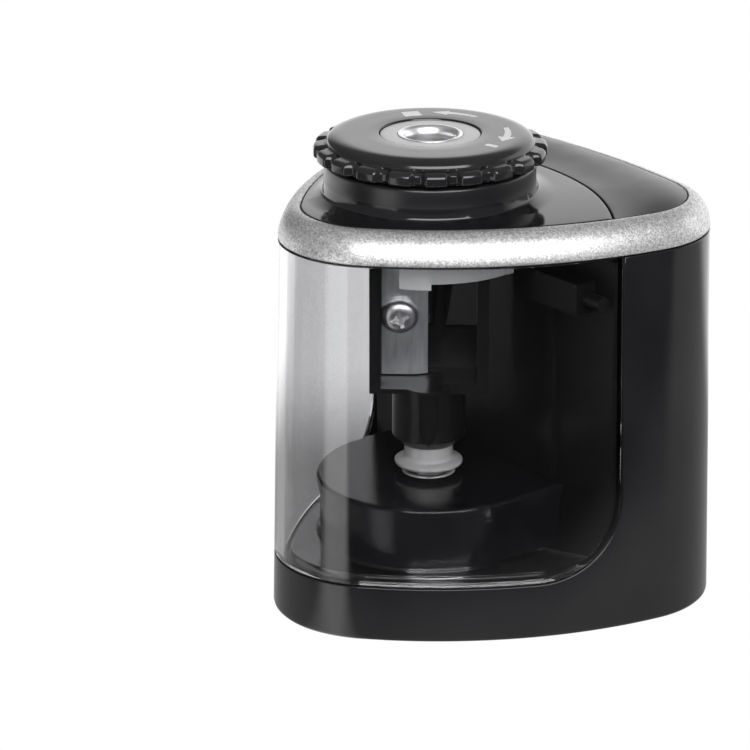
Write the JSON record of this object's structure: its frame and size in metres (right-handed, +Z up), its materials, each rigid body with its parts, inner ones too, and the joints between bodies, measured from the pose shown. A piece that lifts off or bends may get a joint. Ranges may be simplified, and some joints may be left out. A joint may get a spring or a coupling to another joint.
{
  "type": "battery pencil sharpener",
  "caption": "Battery desk pencil sharpener: rounded-triangle body, smoky clear wrap-round shavings bin, silver trim ring, scalloped twist knob and a motor-driven cutter.",
  "frame": {"origin": "middle of the footprint, on the surface it stands on", "axes": "+Z up, +X to the right, +Y to the back; the knob and the round front corner face -Y"},
  "size_m": [0.0728, 0.072, 0.0816],
  "materials": {
    "gloss_black_abs": "polished moulded black",
    "inner_black_abs": "as-moulded black",
    "satin_black_abs": "fine satin black",
    "smoky_clear": "polished smoky clear plastic",
    "silver_paint": "fine sparkle silver paint",
    "light_grey_abs": "smooth light grey",
    "funnel_metal": "turned bright metal",
    "blade_steel": "ground steel",
    "plated_steel": "plated",
    "white_nylon": "moulded white nylon",
    "brass_parts": "machined",
    "cell_wrap": "printed sleeve",
    "red_plastic": "moulded",
    "black_rubber": "matte",
    "lead_black_pvc": "soft sleeve"
  },
  "bodies": {
    "housing": {"body_shell": "gloss_black_abs", "trim_ring": "silver_paint", "front_deck": "gloss_black_abs", "rear_deck": "satin_black_abs", "lock_ring": "light_grey_abs", "chamber_floor": "inner_black_abs", "chamber_wall": "inner_black_abs", "gear_cover": "inner_black_abs", "idler_pin": "plated_steel", "motor_can": "plated_steel", "motor_end_cap": "light_grey_abs", "motor_terminals": "brass_parts", "motor_mount": "inner_black_abs", "motor_screws": "plated_steel", "battery_holder": "inner_black_abs", "battery_left": "cell_wrap", "battery_right": "cell_wrap", "battery_top_contacts": "plated_steel", "start_switch_body": "inner_black_abs", "safety_switch_body": "inner_black_abs", "base_plate": "inner_black_abs", "base_screws": "plated_steel", "rubber_feet": "black_rubber", "lead_red": "red_plastic", "lead_black": "lead_black_pvc"},
    "bin": {"shavings_bin": "smoky_clear"},
    "knob": {"twist_knob": "gloss_black_abs", "guide_disc": "light_grey_abs", "entry_funnel": "funnel_metal"},
    "output": {"output_gear": "white_nylon", "return_spring": "plated_steel"},
    "cutter": {"drive_hub": "white_nylon", "cutter_carrier": "inner_black_abs", "cutter_blade": "blade_steel", "blade_screw": "plated_steel"},
    "idler": {"idler_gear": "white_nylon"},
    "rotor": {"motor_pinion": "brass_parts", "motor_shaft": "plated_steel"},
    "start_plunger": {"start_switch_plunger": "red_plastic"},
    "safety_plunger": {"safety_switch_plunger": "light_grey_abs"},
    "door": {"battery_door": "inner_black_abs", "door_contacts": "plated_steel"}
  },
  "joints": [
    {"name": "knob_twist", "type": "hinge", "parent": "housing", "child": "knob", "pos_m": [0, -0.00711, 0.07], "axis": [0, 0, 1], "range_deg": [0, 35]},
    {"name": "cutter_spin", "type": "hinge", "parent": "housing", "child": "output", "pos_m": [0, -0.00711, 0.012], "axis": [0, 0, 1], "continuous": true},
    {"name": "cutter_press", "type": "slide", "parent": "output", "child": "cutter", "axis": [0, 0, -1], "range_m": [0, 0.0012], "stiffness_N_per_m": 700, "springref_m": -0.001, "deforming": ["return_spring"]},
    {"name": "idler_spin", "type": "hinge", "parent": "housing", "child": "idler", "pos_m": [0, 0.00889, 0.015], "axis": [0, 0, 1], "continuous": true},
    {"name": "motor_spin", "type": "hinge", "parent": "housing", "child": "rotor", "pos_m": [0, 0.02039, 0.018], "axis": [0, 0, 1], "continuous": true},
    {"name": "bin_slide", "type": "slide", "parent": "housing", "child": "bin", "axis": [0, -1, 0], "range_m": [0, 0.045]},
    {"name": "safety_plunge", "type": "slide", "parent": "housing", "child": "safety_plunger", "axis": [1, 0, 0], "range_m": [0, 0.0015]},
    {"name": "start_plunge", "type": "slide", "parent": "housing", "child": "start_plunger", "axis": [0, 0, -1], "range_m": [0, 0.0012]},
    {"name": "door_hinge", "type": "hinge", "parent": "housing", "child": "door", "pos_m": [0, 0.0114, 0.0016], "axis": [-1, 0, 0], "range_deg": [0, 95]}
  ],
  "couplings": [
    {"joint": "idler_spin", "follows": "cutter_spin", "ratio": -4.3333},
    {"joint": "motor_spin", "follows": "cutter_spin", "ratio": 15.6},
    {"joint": "start_plunge", "follows": "cutter_press", "ratio": 1},
    {"joint": "safety_plunge", "follows": "bin_slide", "ratio": 0.033333}
  ]
}
